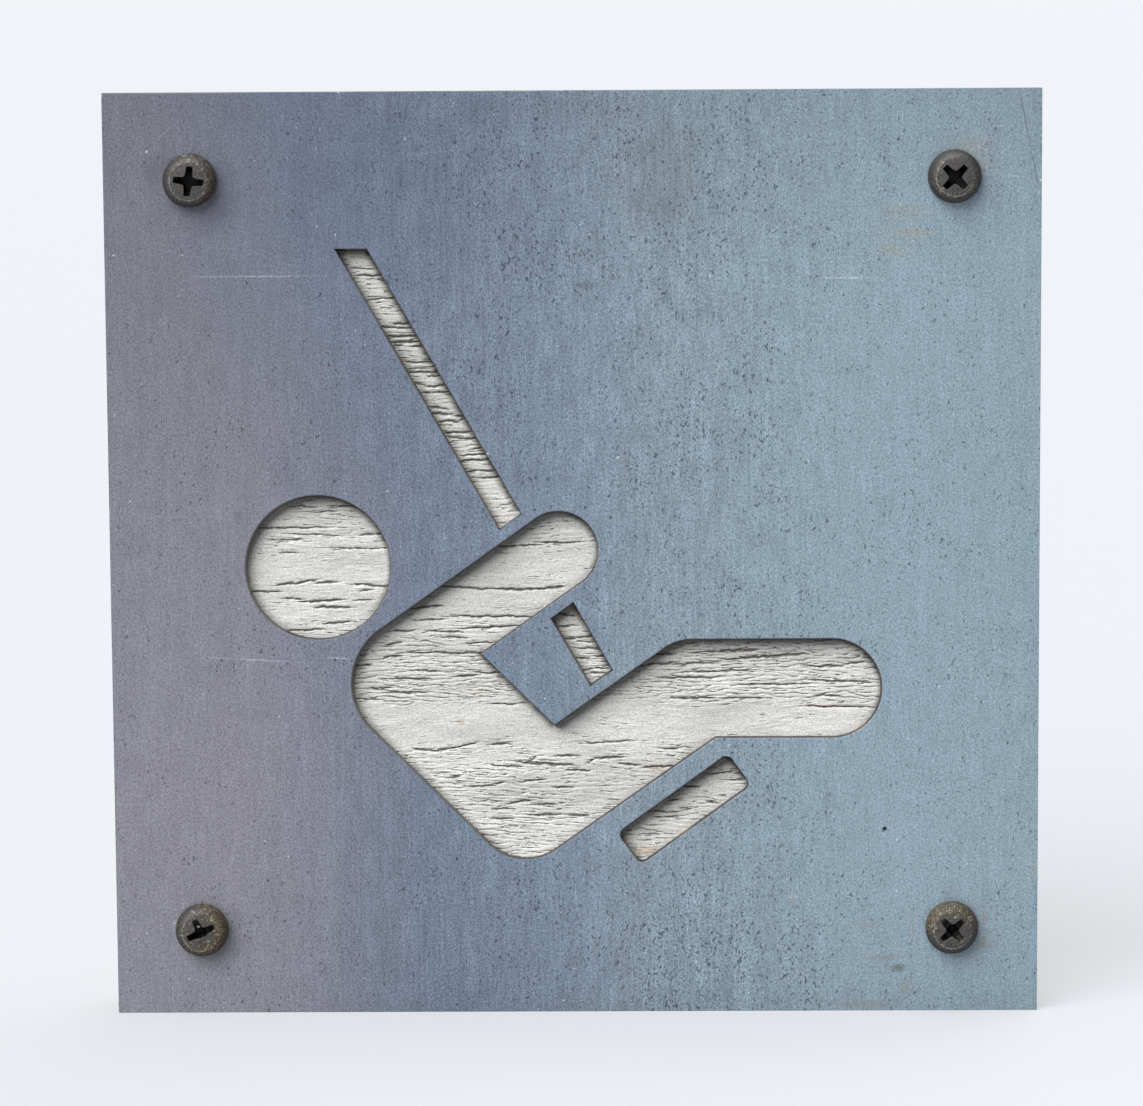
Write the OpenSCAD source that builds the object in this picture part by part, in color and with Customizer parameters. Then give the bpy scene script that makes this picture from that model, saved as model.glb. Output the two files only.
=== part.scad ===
// Metal silhouette sign: a steel sheet with a cut-out figure on a swing, screwed to a wooden board.
// Millimetres. X is to the right and Z up as one faces the sign, and the front looks along -Y.
// The origin is at the middle of the footprint, on the surface that the sign stands on.

/* [Face plate] */
// Width of the steel plate
plate_w = 140; // [136:1:200]
// Height of the steel plate
plate_h = 140; // [130:1:200]
// Thickness of the sheet
plate_t = 2; // [1:0.5:4]
// Distance of each screw from the two edges of its corner
screw_inset = 13; // [8:0.5:18]
// Room between a screw's thread and its hole in the plate, on the radius
hole_clearance = 0.15; // [0.1:0.05:0.4]

/* [Figure] */
// Sideways place of the hip from the middle of the plate
hip_dx = -7.6; // [-10:0.1:-5]
// Height of the hip from the middle of the plate, negative is below it
hip_dz = -38.4; // [-42:0.1:-34]
// Length of the thigh, from hip to knee
thigh_l = 31.2; // [29:0.1:34]
// Width of the thigh, which also rounds the hip and the knee
thigh_w = 16; // [15.5:0.1:17]
// Rise of the thigh above the level
thigh_angle = 35.2; // [32:0.1:38]
// Length of the level lower leg, from knee to foot
shin_l = 20.9; // [16:0.1:24]
// Width of the lower leg, which also rounds the foot
shin_w = 15.4; // [14:0.1:15.5]
// Length of the torso, from hip to shoulder
torso_l = 25; // [24:0.1:28]
// Width of the torso
torso_w = 20.3; // [19:0.1:21]
// Lean of the torso, from the level on the right
torso_angle = 135; // [132:0.5:137]
// Radius of the rounded shoulder
shoulder_r = 10.2; // [9.5:0.1:11]
// Length of the arm, from shoulder to hand
arm_l = 29.1; // [27:0.1:31]
// Width of the arm, which also rounds the hand
arm_w = 12.2; // [11:0.1:13]
// Rise of the arm above the level
arm_angle = 35.4; // [33:0.1:38]
// Radius of the round head
head_r = 11.1; // [9:0.1:12]
// Strip of steel left between head and shoulder
neck_web = 1.9; // [1.5:0.1:4]
// Direction of the head from the shoulder
head_angle = 130; // [122:0.5:138]

/* [Swing] */
// Width of the rope
rope_w = 4.4; // [3:0.1:5.5]
// Lean of the rope from the level on the right
rope_angle = 119.7; // [117:0.1:122]
// How far the rope is held back along the arm from the middle of the rounded hand
hand_past_rope = 4.1; // [3.5:0.1:6]
// Distance of the rope's top end from the top edge of the plate
rope_top_margin = 23.2; // [15:0.1:40]
// Strip of steel left where the rope passes behind a limb
rope_web = 1.5; // [1:0.1:2.5]
// Length of the seat
seat_l = 21; // [16:0.1:24]
// Thickness of the seat
seat_t = 6.3; // [4:0.1:8]
// Radius of the seat's corners
seat_corner_r = 1.3; // [0.5:0.1:1.9]
// Rise of the seat above the level
seat_angle = 36; // [33:0.1:38]
// Strip of steel left between thigh and seat, at the middle of the seat
seat_web = 2.9; // [2:0.1:4]
// Middle of the seat, along the thigh from the hip
seat_along = 19.5; // [17:0.1:22]

/* [Backing board] */
// Thickness of the board
board_t = 9; // [9:0.5:18]
// How far the plate stands past the board at the top and at each side
board_reveal = 1; // [0.5:0.25:4]

/* [Face screws] */
// Diameter of the pan head
head_d = 8; // [7.4:0.1:9.5]
// Height of the pan head
head_h = 3; // [2.6:0.1:3.6]
// Diameter of the flatter crown of the head
crown_d = 5.8; // [5.2:0.1:6.4]
// Rise of the crown at its middle
crown_rise = 0.3; // [0.1:0.05:0.5]
// Straight side of the head above its seat
head_side = 0.8; // [0.4:0.1:1.2]
// Outer diameter of the thread
thread_d = 4.2; // [3.5:0.1:4.8]
// Height of the thread above its core
thread_h = 0.6; // [0.4:0.05:0.8]
// Pitch of the thread
thread_pitch = 1.4; // [1.1:0.1:1.8]
// Length of the screw's tapered point
screw_point_l = 3; // [2:0.1:4]
// Wood left between the screw's point and the back of the board
screw_cover = 1.5; // [1:0.1:3]
// Distance across the cross recess
recess_d = 4.6; // [4:0.1:5]
// Width of each wing of the cross recess
recess_w = 1; // [0.7:0.05:1.3]
// Depth of the cross recess
recess_depth = 2.2; // [1.5:0.1:2.5]

/* [Keyhole hanger] */
// Length of the hanger plate
hanger_l = 44; // [42:1:60]
// Width of the hanger plate
hanger_w = 16; // [14:0.5:22]
// Thickness of the hanger plate
hanger_t = 1.5; // [1.2:0.1:2]
// Distance of the hanger plate below the top of the board
hanger_drop = 8; // [3:0.5:20]
// Diameter of the keyhole's round entry, which takes the wall screw's head
entry_d = 9; // [7.5:0.1:9.5]
// Width of the keyhole's slot, which takes the wall screw's shank
slot_w = 4.5; // [3.5:0.1:5.5]
// How far the sign drops onto the wall screw
slot_travel = 10; // [7:0.5:12]
// Room around the wall screw's head in the pocket behind the keyhole
pocket_room = 0.5; // [0.3:0.1:1]
// Wood left in front of that pocket
pocket_skin = 2.5; // [2:0.1:4]
// Distance of each hanger screw from the end of the hanger plate
hanger_screw_inset = 5.5; // [4.5:0.1:6.5]

/* [Hanger screws] */
// Diameter of the countersunk head
csk_head_d = 5; // [4.8:0.1:5.4]
// Outer diameter of the thread
csk_thread_d = 2.9; // [2.5:0.1:3.2]
// Height of the thread above its core
csk_thread_h = 0.4; // [0.3:0.05:0.5]
// Pitch of the thread
csk_pitch = 1.1; // [0.9:0.05:1.3]
// Length of the screw's tapered point
csk_point_l = 2; // [1.5:0.1:2.5]
// Wood left between the screw's point and the front of the board
csk_cover = 2.5; // [1.5:0.1:3.5]
// Distance across the cross recess
csk_recess_d = 2.8; // [2.2:0.1:3.2]
// Width of each wing of the cross recess
csk_recess_w = 0.7; // [0.5:0.05:0.8]
// Depth of the cross recess
csk_recess_depth = 1.2; // [0.8:0.1:1.4]

/* [Hidden] */
$fn = 96;

// Slack between a thread and its hole in the wood, and between a let-in piece and its recess
wood_fit = 0.05;
inlay_fit = 0.2;
// Slack between a countersunk head and its seat
seat_fit = 0.05;
// Free depth of each pilot hole past the screw's point
pilot_spare = 0.4;
// How far a cutting shape stands out of the solid that it cuts
over = 1;
// Extra radius of each round end, so that its arc crosses the straight sides and doesn't graze them
crossing = 0.01;
// How far a screw's shank reaches up into its own head
root = 0.3;
// Turn of the cross recess in each screw's head: top left, top right, bottom left, bottom right
recess_turns = [83, 45, 30, 43];

stack_t = head_h + plate_t + board_t;
crown_y = -stack_t / 2;
plate_front = crown_y + head_h;
plate_back = plate_front + plate_t;
board_back = plate_back + board_t;
board_w = plate_w - 2 * board_reveal;
board_h = plate_h - board_reveal;
mid_z = plate_h / 2;

screw_l = plate_t + board_t - screw_cover;
screw_x = plate_w / 2 - screw_inset;
screw_low = screw_inset;
screw_high = plate_h - screw_inset;

hanger_z = board_h - hanger_drop - hanger_l / 2;
hanger_front = board_back - hanger_t;
entry_z = hanger_z - slot_travel / 2;
slot_top = hanger_z + slot_travel / 2;
pocket_r = entry_d / 2 + pocket_room;
pocket_depth = board_t - hanger_t - pocket_skin;
csk_l = board_t - csk_cover;
csk_reach = hanger_l / 2 - hanger_screw_inset;
csk_head_h = (csk_head_d - csk_thread_d) / 2;

// Unit vector at an angle in the plane of the plate, and the one a quarter turn further
function along(angle) = [cos(angle), sin(angle)];
function across(angle) = [-sin(angle), cos(angle)];

hip = [hip_dx, mid_z + hip_dz];
knee = hip + thigh_l * along(thigh_angle);
foot = knee + [shin_l, (thigh_w - shin_w) / 2];
shoulder = hip + torso_l * along(torso_angle) + (thigh_w / 2 - shoulder_r) * across(torso_angle);
arm_root = shoulder + (shoulder_r - arm_w / 2) * across(arm_angle);
hand = arm_root + arm_l * along(arm_angle);
head = shoulder + (shoulder_r + neck_web + head_r) * along(head_angle);
grip = hand - hand_past_rope * along(arm_angle);
rope_top = plate_h - rope_top_margin;
seat = hip + seat_along * along(thigh_angle)
    - (thigh_w / 2 + seat_web + seat_t / 2) * across(thigh_angle);

// A flat shape in the plane of the plate, made solid from its back face forward
module slab(back, thick) {
    translate([0, back, 0]) rotate([90, 0, 0]) linear_extrude(thick) children();
}

// Places its children at a point of the plate, with their own +Z pointing out of the front
module facing_front(x, y, z) {
    translate([x, y, z]) rotate([90, 0, 0]) children();
}

// Places its children at a point of the back, with their own +Z pointing out of the back
module facing_back(x, y, z) {
    translate([x, y, z]) rotate([-90, 0, 0]) children();
}

// A straight band from a point, from one offset across its direction to another
module band(start, angle, length, from, to) {
    translate(start) rotate(angle) translate([0, from]) square([length, to - from]);
}

// A round end, whose diameter is the width of the band that it ends
module round_end(middle, width) {
    translate(middle) circle(d = width + 2 * crossing);
}

module leg_shape() {
    round_end(hip, thigh_w);
    band(hip, thigh_angle, thigh_l, -thigh_w / 2, thigh_w / 2);
    round_end(knee, thigh_w);
    band([knee[0], foot[1]], 0, shin_l, -shin_w / 2, shin_w / 2);
    round_end(foot, shin_w);
}

module torso_shape() {
    band(hip, torso_angle, torso_l, thigh_w / 2 - torso_w, thigh_w / 2);
    round_end(shoulder, 2 * shoulder_r);
}

module arm_shape() {
    band(arm_root, arm_angle, arm_l, -arm_w / 2, arm_w / 2);
    round_end(hand, arm_w);
}

// The rope, cut level at its top and broken where it passes behind arm and thigh
module rope_shape() {
    rope_l = 2 * plate_h;
    difference() {
        band(grip - plate_h * along(rope_angle), rope_angle, rope_l, -rope_w / 2, rope_w / 2);
        translate([-plate_w, rope_top]) square([2 * plate_w, plate_h]);
        band(arm_root, arm_angle, arm_l, -arm_w / 2 - rope_web, arm_w / 2 + rope_web);
        band(hip - thigh_l * along(thigh_angle), thigh_angle, 3 * thigh_l,
            -plate_h, thigh_w / 2 + rope_web);
    }
}

module seat_shape() {
    inner_l = seat_l - 2 * seat_corner_r;
    inner_t = seat_t - 2 * seat_corner_r;
    translate(seat) rotate(seat_angle) {
        square([inner_l, seat_t], center = true);
        square([seat_l, inner_t], center = true);
        for (x = [-inner_l / 2, inner_l / 2], y = [-inner_t / 2, inner_t / 2])
            round_end([x, y], 2 * seat_corner_r);
    }
}

module pictogram() {
    translate(head) circle(r = head_r);
    leg_shape();
    torso_shape();
    arm_shape();
    rope_shape();
    seat_shape();
}

module face_plate() {
    color("slategray") difference() {
        slab(plate_back, plate_t) translate([-plate_w / 2, 0]) square([plate_w, plate_h]);
        slab(plate_back + over, plate_t + 2 * over) pictogram();
        for (x = [-screw_x, screw_x], z = [screw_low, screw_high])
            facing_front(x, plate_back + over, z)
                cylinder(d = thread_d + 2 * hole_clearance, h = plate_t + 2 * over);
    }
}

// The outline of the hanger plate, with round ends
module hanger_shape(room) {
    straight = hanger_l - hanger_w;
    translate([0, hanger_z]) {
        square([hanger_w + 2 * room, straight], center = true);
        for (end = [-straight / 2, straight / 2])
            round_end([0, end], hanger_w + 2 * room);
    }
}

module backing_board() {
    pilot_l = screw_l - plate_t + pilot_spare;
    csk_pilot_l = csk_l - hanger_t + pilot_spare;
    color("antiquewhite") difference() {
        slab(board_back, board_t) translate([-board_w / 2, 0]) square([board_w, board_h]);
        for (x = [-screw_x, screw_x], z = [screw_low, screw_high])
            facing_front(x, plate_back + pilot_l, z)
                cylinder(d = thread_d + 2 * wood_fit, h = pilot_l + over);
        slab(board_back + over, hanger_t + over) hanger_shape(inlay_fit);
        slab(hanger_front + over, pocket_depth + over) {
            translate([-pocket_r, entry_z]) square([2 * pocket_r, slot_travel]);
            for (z = [entry_z, slot_top]) round_end([0, z], 2 * pocket_r);
        }
        for (side = [-1, 1])
            facing_back(0, hanger_front - csk_pilot_l, hanger_z + side * csk_reach)
                cylinder(d = csk_thread_d + 2 * wood_fit, h = csk_pilot_l + over);
    }
}

module keyhole_hanger() {
    csk_seat_d = csk_head_d + 2 * seat_fit;
    csk_hole_d = csk_thread_d + 2 * hole_clearance;
    color("silver") difference() {
        slab(board_back, hanger_t) hanger_shape(0);
        facing_back(0, hanger_front - over, entry_z) cylinder(d = entry_d, h = hanger_t + 2 * over);
        slab(board_back + over, hanger_t + 2 * over) {
            translate([-slot_w / 2, entry_z]) square([slot_w, slot_travel]);
            round_end([0, slot_top], slot_w);
        }
        for (side = [-1, 1]) translate([0, 0, hanger_z + side * csk_reach]) {
            facing_back(0, hanger_front - over, 0) cylinder(d = csk_hole_d, h = hanger_t + 2 * over);
            facing_back(0, board_back - csk_seat_d / 2, 0)
                cylinder(d1 = 0, d2 = csk_seat_d + 2 * over, h = csk_seat_d / 2 + over);
        }
    }
}

// A cross recess sunk from z = 0 downwards: two wings with sloping ends, and a cone between them
module cross_recess(span, wing, depth) {
    foot = span * 0.45;
    for (turn = [0, 90])
        rotate([90, 0, turn]) linear_extrude(wing, center = true) polygon([
            [-foot / 2, -depth], [foot / 2, -depth], [span / 2, 0],
            [span / 2, over], [-span / 2, over], [-span / 2, 0]
        ]);
    translate([0, 0, -depth]) cylinder(r1 = wing * 0.6, r2 = wing, h = depth);
}

// A tapping screw's shank from z = root down to its point, with a right-hand thread.
// Its radius at height z and angle a is the core's, plus the thread's ridge where
// z / pitch - a / 360 has the right fraction, and it tapers along the point.
module threaded_shank(length, outer_d, ridge_h, pitch, point_l) {
    sides = 18;
    rings_per_pitch = 6;
    ridge_share = 0.3;
    run_in = pitch / 2;
    core_r = outer_d / 2 - ridge_h;
    step = pitch / rings_per_pitch;
    rings = floor((length + root) / step);

    function ring_z(i) = root - i * step;
    function fraction(t) = t - floor(t);
    function ridge(t) = max(0, 1 - abs(fraction(t) - 0.5) / ridge_share);
    function rise(z) = min(1, max(0, -z / run_in));
    function taper(z) = min(1, (z + length) / point_l);
    function shank_r(z, a) = taper(z) * (core_r + ridge_h * rise(z) * ridge(z / pitch - a / 360));

    points = [
        for (i = [0 : rings - 1], j = [0 : sides - 1])
            let (z = ring_z(i), a = 360 * j / sides, r = shank_r(z, a)) [r * cos(a), r * sin(a), z],
        [0, 0, -length]
    ];
    walls = [
        for (i = [0 : rings - 2], j = [0 : sides - 1])
            let (k = (j + 1) % sides, a = i * sides + j, b = i * sides + k, c = b + sides, d = a + sides)
            each [[a, b, d], [b, c, d]]
    ];
    last = (rings - 1) * sides;
    tip = [for (j = [0 : sides - 1]) [last + j, last + (j + 1) % sides, rings * sides]];
    cap = [[for (j = [sides - 1 : -1 : 0]) j]];
    polyhedron(points, concat(cap, walls, tip));
}

// The outline of half a pan head: a straight side, an elliptic shoulder and a low crown
module pan_head_profile() {
    steps = 8;
    outer = head_d / 2;
    inner = crown_d / 2;
    shoulder_top = head_h - crown_rise;
    ball_r = (inner * inner + crown_rise * crown_rise) / (2 * crown_rise);
    ball_a = asin(inner / ball_r);
    polygon([
        [0, 0],
        [outer, 0],
        for (i = [0 : steps])
            let (a = 90 * i / steps)
            [inner + (outer - inner) * cos(a), head_side + (shoulder_top - head_side) * sin(a)],
        for (i = [1 : steps])
            let (a = ball_a * (1 - i / steps))
            [ball_r * sin(a), head_h - ball_r * (1 - cos(a))]
    ]);
}

module face_screw(side, level, turn) {
    color("dimgray") facing_front(side * screw_x, plate_front, level) rotate(turn) {
        difference() {
            rotate_extrude() pan_head_profile();
            translate([0, 0, head_h]) cross_recess(recess_d, recess_w, recess_depth);
        }
        threaded_shank(screw_l, thread_d, thread_h, thread_pitch, screw_point_l);
    }
}

module hanger_screw(side) {
    color("gainsboro") facing_back(0, board_back, hanger_z + side * csk_reach) {
        difference() {
            translate([0, 0, -csk_head_h])
                cylinder(d1 = csk_thread_d, d2 = csk_head_d, h = csk_head_h);
            cross_recess(csk_recess_d, csk_recess_w, csk_recess_depth);
        }
        translate([0, 0, -csk_head_h]) threaded_shank(csk_l - csk_head_h, csk_thread_d,
            csk_thread_h, csk_pitch, csk_point_l);
    }
}

module screw_top_left() { face_screw(-1, screw_high, recess_turns[0]); }
module screw_top_right() { face_screw(1, screw_high, recess_turns[1]); }
module screw_bottom_left() { face_screw(-1, screw_low, recess_turns[2]); }
module screw_bottom_right() { face_screw(1, screw_low, recess_turns[3]); }
module hanger_screw_upper() { hanger_screw(1); }
module hanger_screw_lower() { hanger_screw(-1); }

face_plate();
backing_board();
screw_top_left();
screw_top_right();
screw_bottom_left();
screw_bottom_right();
keyhole_hanger();
hanger_screw_upper();
hanger_screw_lower();
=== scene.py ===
"""Metal silhouette sign: a steel sheet with a cut-out figure on a swing, screwed to a whitewashed board."""

import math

import bmesh
import bpy
import numpy as np
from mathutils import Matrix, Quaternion, Vector
from mathutils.geometry import delaunay_2d_cdt


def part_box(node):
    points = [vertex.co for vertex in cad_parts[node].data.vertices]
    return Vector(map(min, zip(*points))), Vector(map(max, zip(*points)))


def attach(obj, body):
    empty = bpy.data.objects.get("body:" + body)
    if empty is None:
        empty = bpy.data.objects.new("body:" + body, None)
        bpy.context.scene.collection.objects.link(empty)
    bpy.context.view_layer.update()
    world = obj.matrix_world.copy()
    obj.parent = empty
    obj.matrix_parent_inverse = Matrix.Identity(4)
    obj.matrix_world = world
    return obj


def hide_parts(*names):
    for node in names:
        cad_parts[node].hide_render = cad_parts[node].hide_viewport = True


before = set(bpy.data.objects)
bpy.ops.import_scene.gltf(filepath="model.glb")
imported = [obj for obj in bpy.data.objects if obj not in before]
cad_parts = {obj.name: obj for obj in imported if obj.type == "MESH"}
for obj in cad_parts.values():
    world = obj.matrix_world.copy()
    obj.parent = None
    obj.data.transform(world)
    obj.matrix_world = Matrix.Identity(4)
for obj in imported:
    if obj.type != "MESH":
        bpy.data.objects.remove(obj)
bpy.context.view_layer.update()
mm = 0.001

# Backing board.
# A 9 mm softwood board under a thin coat of whitewash. The wood has moved and weathered since, so
# the coat has opened in short dark checks along the grain, which runs level. The back is bare.

board_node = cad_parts["backing_board"]
weld = 0.002 * mm


def boundary(faces):
    """The outlines of a patch of faces, as arrays of point numbers: the edges that no other face has
    the other way round, walked from end to end."""
    starts, ends = faces.ravel().tolist(), np.roll(faces, -1, 1).ravel().tolist()
    shared = set(zip(ends, starts))
    following = {start: end for start, end in zip(starts, ends) if (start, end) not in shared}
    found = []
    while following:
        first, here = following.popitem()
        walk = [first]
        while here != first:
            walk.append(here)
            here = following.pop(here)
        found.append(np.array(walk))
    return found


def outlines(node, depth):
    """The outlines of a node's flat face at one depth, as arrays of (x, z), the longest first. Seen
    from the front, the solid lies to the left of each."""
    work = bmesh.new()
    work.from_mesh(node.data)
    bmesh.ops.remove_doubles(work, verts=work.verts, dist=weld)
    work.verts.index_update()
    places = np.array([v.co for v in work.verts])
    flat = [f for f in work.faces if all(abs(v.co.y - depth) < weld for v in f.verts)]
    backward = sum(f.normal.y * f.calc_area() for f in flat) > 0
    faces = np.array([[v.index for v in f.verts] for f in flat])
    work.free()
    found = [places[walk[::-1] if backward else walk][:, ::2] for walk in boundary(faces)]
    return sorted(found, key=lambda points: -np.ptp(points, 0).sum())


def rounded(outline, longest=3 * mm, sharpest=math.radians(30), parts=4):
    """An outline with its arcs filled in: a short edge that turns gently at both ends is taken as the
    chord of an arc, which subtends the larger of the two turns, and gets points along that arc."""
    step = np.roll(outline, -1, 0) - outline
    length = np.hypot(*step.T)
    heading = np.arctan2(step[:, 1], step[:, 0])
    turn = (heading - np.roll(heading, 1) + math.pi) % (2 * math.pi) - math.pi
    other = np.roll(turn, -1)
    arc = np.where(np.abs(turn) > np.abs(other), turn, other)
    is_arc = (length < longest) & (np.abs(turn) < sharpest) & (np.abs(other) < sharpest)
    is_arc &= (np.abs(arc) > math.radians(1)) & (turn * other > 0)
    arc = np.where(is_arc, arc, 1e-6)[:, None]
    share = np.arange(parts) / parts
    radius = length[:, None] / (2 * np.sin(arc / 2))
    ahead = length[:, None] / 2 + radius * np.sin((share - 0.5) * arc)
    aside = radius * (np.cos(arc / 2) - np.cos((share - 0.5) * arc))
    along = (step / length[:, None])[:, None, :]
    left = np.stack([-along[..., 1], along[..., 0]], -1)
    points = outline[:, None, :] + ahead[..., None] * along + aside[..., None] * left
    keep = is_arc[:, None] | (np.arange(parts) == 0)
    return points[keep]


def carried(outline, profile):
    """A profile carried along an outline. Each of its points is a step into the solid and a depth.
    The step follows the sum of the two edges' normals over one plus their dot product, which keeps
    every edge parallel to itself round a corner."""
    before = outline - np.roll(outline, 1, 0)
    before = before / np.hypot(*before.T)[:, None]
    after = np.roll(before, -1, 0)
    inward = (before + after) / (1 + (before * after).sum(1))[:, None]
    inward = np.stack([-inward[:, 1], inward[:, 0]], -1)
    step, depth = np.transpose(profile)
    place = outline + step[:, None, None] * inward
    depth = np.broadcast_to(depth[:, None], place.shape[:2])
    return np.stack([place[..., 0], depth, place[..., 1]], -1)


def grid_faces(rows, columns, closed=False):
    """The four-sided faces between the points of a grid, whose last column may join its first."""
    i, j = np.meshgrid(np.arange(rows - 1), np.arange(columns - (not closed)), indexing="ij")
    near, far = i * columns + j, i * columns + (j + 1) % columns
    return np.stack([near, far, far + columns, near + columns], -1).reshape(-1, 4)


def edge_surface(outline, profile, values=None):
    """The surface that a profile sweeps along an outline, with a value for each profile point."""
    points = carried(outline, profile)
    values = np.zeros(len(profile)) if values is None else np.array(values, float)
    values = np.repeat(values, len(outline))
    return points.reshape(-1, 3), grid_faces(*points.shape[:2], closed=True), values


def turned_left(rim):
    """An outline walked with its inside on the left, where the area by the shoelace formula is positive."""
    x, z = rim.T
    area = (x * np.roll(z, -1) - np.roll(x, -1) * z).sum()
    return rim if area > 0 else rim[::-1]


def flat_surface(rims, depth, value=0.0):
    """The flat face between outlines at one depth, cut into triangles: those that lie inside an odd
    number of the outlines."""
    points = np.concatenate([turned_left(rim) for rim in rims]) / mm
    ends = np.cumsum([len(rim) for rim in rims])
    polygons = [numbers.tolist() for numbers in np.split(np.arange(ends[-1]), ends[:-1])]
    every_triangle = 0
    made = delaunay_2d_cdt([Vector(p) for p in points], [], polygons, every_triangle, 1e-5)
    places, triangles = np.array(made[0]), np.array(made[2])
    triangles = triangles[[len(holders) % 2 == 1 for holders in made[5]]]
    places = np.stack([places[:, 0] * mm, np.full(len(places), depth), places[:, 1] * mm], -1)
    return places, triangles, np.full(len(places), value)


def solid(name, surfaces, attributes, sharp=math.radians(35)):
    """One closed mesh from surfaces that meet edge to edge. Points that coincide are welded, faces
    are turned outward, and the attributes hold each surface's values."""
    points, faces, *values = zip(*surfaces)
    starts = np.cumsum([0] + [len(p) for p in points])
    mesh = bpy.data.meshes.new(name)
    every_face = [face for start, part in zip(starts, faces) for face in (part + start).tolist()]
    mesh.from_pydata(np.concatenate(points), [], every_face)
    for attribute, value in zip(attributes, values):
        mesh.attributes.new(attribute, "FLOAT", "POINT").data.foreach_set("value", np.concatenate(value))
    work = bmesh.new()
    work.from_mesh(mesh)
    bmesh.ops.remove_doubles(work, verts=work.verts, dist=weld)
    bmesh.ops.recalc_face_normals(work, faces=work.faces)
    work.to_mesh(mesh)
    work.free()
    mesh.shade_smooth()
    mesh.set_sharp_from_angle(angle=sharp)
    piece = bpy.data.objects.new(name, mesh)
    bpy.context.scene.collection.objects.link(piece)
    return piece


def within(x, z, outline):
    """Whether each point lies inside an outline: a level line from it to the right then crosses the
    outline an odd number of times."""
    (x0, z0), (x1, z1) = outline.T, np.roll(outline, -1, 0).T
    rise = np.where(z1 == z0, 1, z1 - z0)
    x, z = x[..., None], z[..., None]
    crossed = ((z0 > z) != (z1 > z)) & (x < x0 + (z - z0) / rise * (x1 - x0))
    return crossed.sum(-1) % 2 == 1


def smooth(low, high, value):
    """Rises from 0 at low to 1 at high as an S curve."""
    t = np.clip((value - low) / (high - low), 0, 1)
    return t * t * (3 - 2 * t)


def waves(x, z, count, length_x, length_z, seed):
    """A smooth uneven field, mostly between -1 and 1: a sum of sine waves of random tilt and phase,
    whose lengths are spread round the given ones."""
    random = np.random.default_rng(seed)
    total = 0
    for _ in range(count):
        spread = random.uniform(0.6, 1.7, 2)
        tilt, phase = random.choice([-1, 1]), random.uniform(0, 2 * math.pi)
        turns = tilt * x / (length_x * spread[0]) + z / (length_z * spread[1])
        total = total + np.sin(2 * math.pi * turns + phase)
    return total / math.sqrt(count)


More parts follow.
